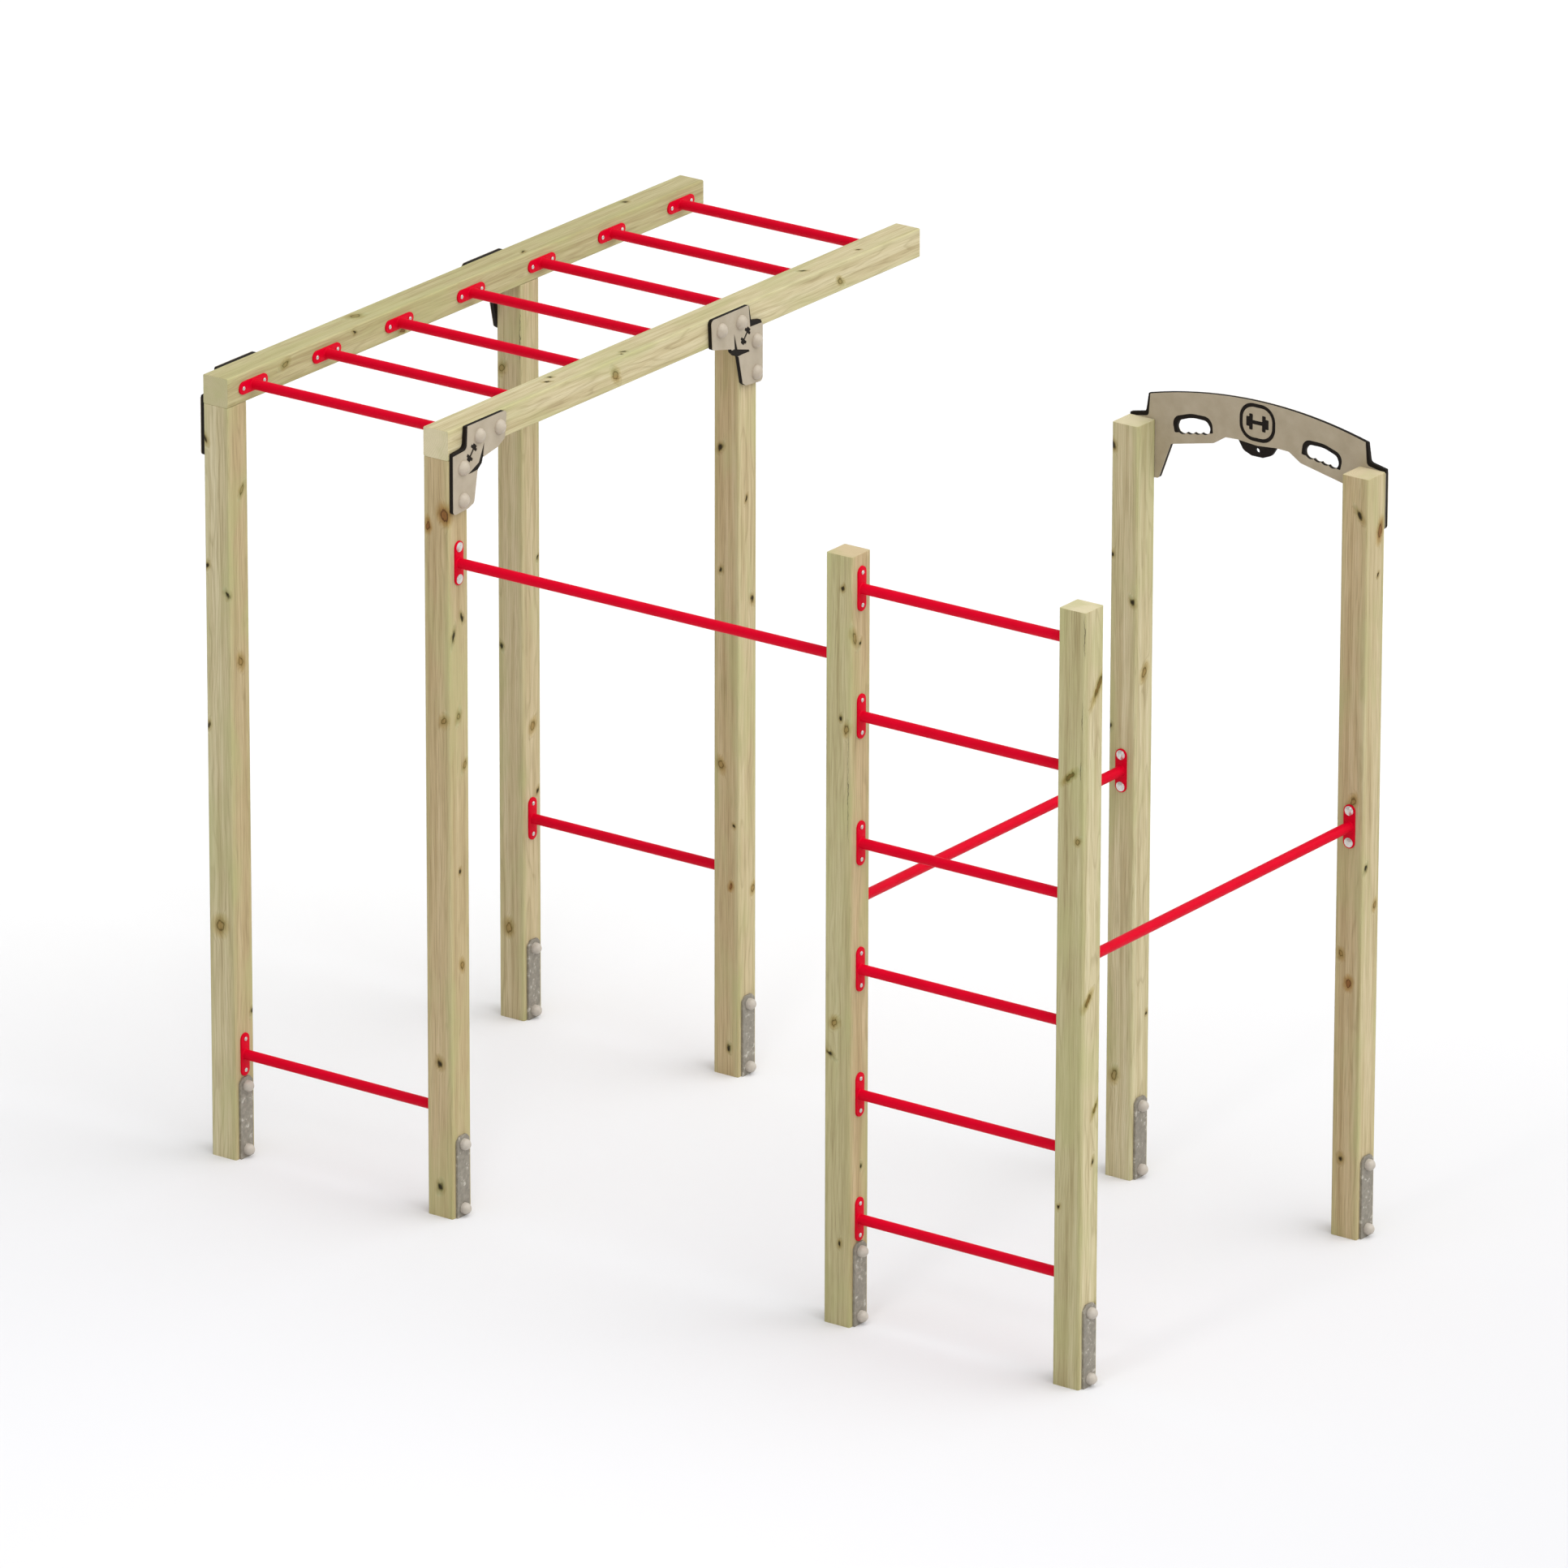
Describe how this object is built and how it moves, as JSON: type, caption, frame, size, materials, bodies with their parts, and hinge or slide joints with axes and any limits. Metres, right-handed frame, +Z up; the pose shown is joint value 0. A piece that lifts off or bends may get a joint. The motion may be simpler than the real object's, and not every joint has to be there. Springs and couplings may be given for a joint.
{
  "type": "monkey bars",
  "caption": "Timber monkey bars with steel overhead rungs, wall ladder, pull-up bar, low bars, dip bars and an arch panel with hand grips.",
  "frame": {"origin": "on the ground under the middle of the whole frame", "axes": "+X along the rungs from the overhead ladder to the wall ladder, +Y along the overhead beams from the near row to the far row, +Z up"},
  "size_m": [3.258, 2.4, 2.5269],
  "materials": {
    "timber": "planed and pressure treated, with knots",
    "red_steel": "glossy powder coat",
    "zinc_fixings": "bright zinc",
    "panel_core": "routed",
    "panel_skin": "fine satin",
    "arch_skin": "fine satin",
    "galvanised_steel": "hot-dip galvanised, matte",
    "cap_plastic": "satin",
    "foot_cap_plastic": "satin"
  },
  "bodies": {
    "root": {"post_near_1": "timber", "post_near_2": "timber", "post_near_3": "timber", "post_near_4": "timber", "post_far_1": "timber", "post_far_2": "timber", "post_far_3": "timber", "post_far_4": "timber", "beam_left": "timber", "beam_right": "timber", "rung_1": "red_steel", "rung_2": "red_steel", "rung_3": "red_steel", "rung_4": "red_steel", "rung_5": "red_steel", "rung_6": "red_steel", "rung_7": "red_steel", "ladder_rung_1": "red_steel", "ladder_rung_2": "red_steel", "ladder_rung_3": "red_steel", "ladder_rung_4": "red_steel", "ladder_rung_5": "red_steel", "ladder_rung_6": "red_steel", "low_bar": "red_steel", "mid_bar": "red_steel", "long_bar": "red_steel", "dip_bar_left": "red_steel", "dip_bar_right": "red_steel", "rung_plates_left": "red_steel", "rung_plates_right": "red_steel", "ladder_plates_left": "red_steel", "ladder_plates_right": "red_steel", "low_bar_plates": "red_steel", "mid_bar_plates": "red_steel", "long_bar_plates": "red_steel", "dip_bar_left_plates": "red_steel", "dip_bar_right_plates": "red_steel", "rung_screws": "zinc_fixings", "ladder_screws": "zinc_fixings", "cross_bar_screws": "zinc_fixings", "cup_bolts": "zinc_fixings", "corner_near_left_core": "panel_core", "corner_near_left_skin": "panel_skin", "corner_near_right_core": "panel_core", "corner_near_right_skin": "panel_skin", "corner_far_left_core": "panel_core", "corner_far_left_skin": "panel_skin", "corner_far_right_core": "panel_core", "corner_far_right_skin": "panel_skin", "arch_core": "panel_core", "arch_skin_front": "arch_skin", "arch_skin_back": "arch_skin", "foot_straps_overhead": "galvanised_steel", "foot_straps_ladder": "galvanised_steel", "foot_straps_arch": "galvanised_steel", "corner_caps": "cap_plastic", "arch_caps": "cap_plastic", "foot_caps": "foot_cap_plastic"}
  },
  "joints": []
}
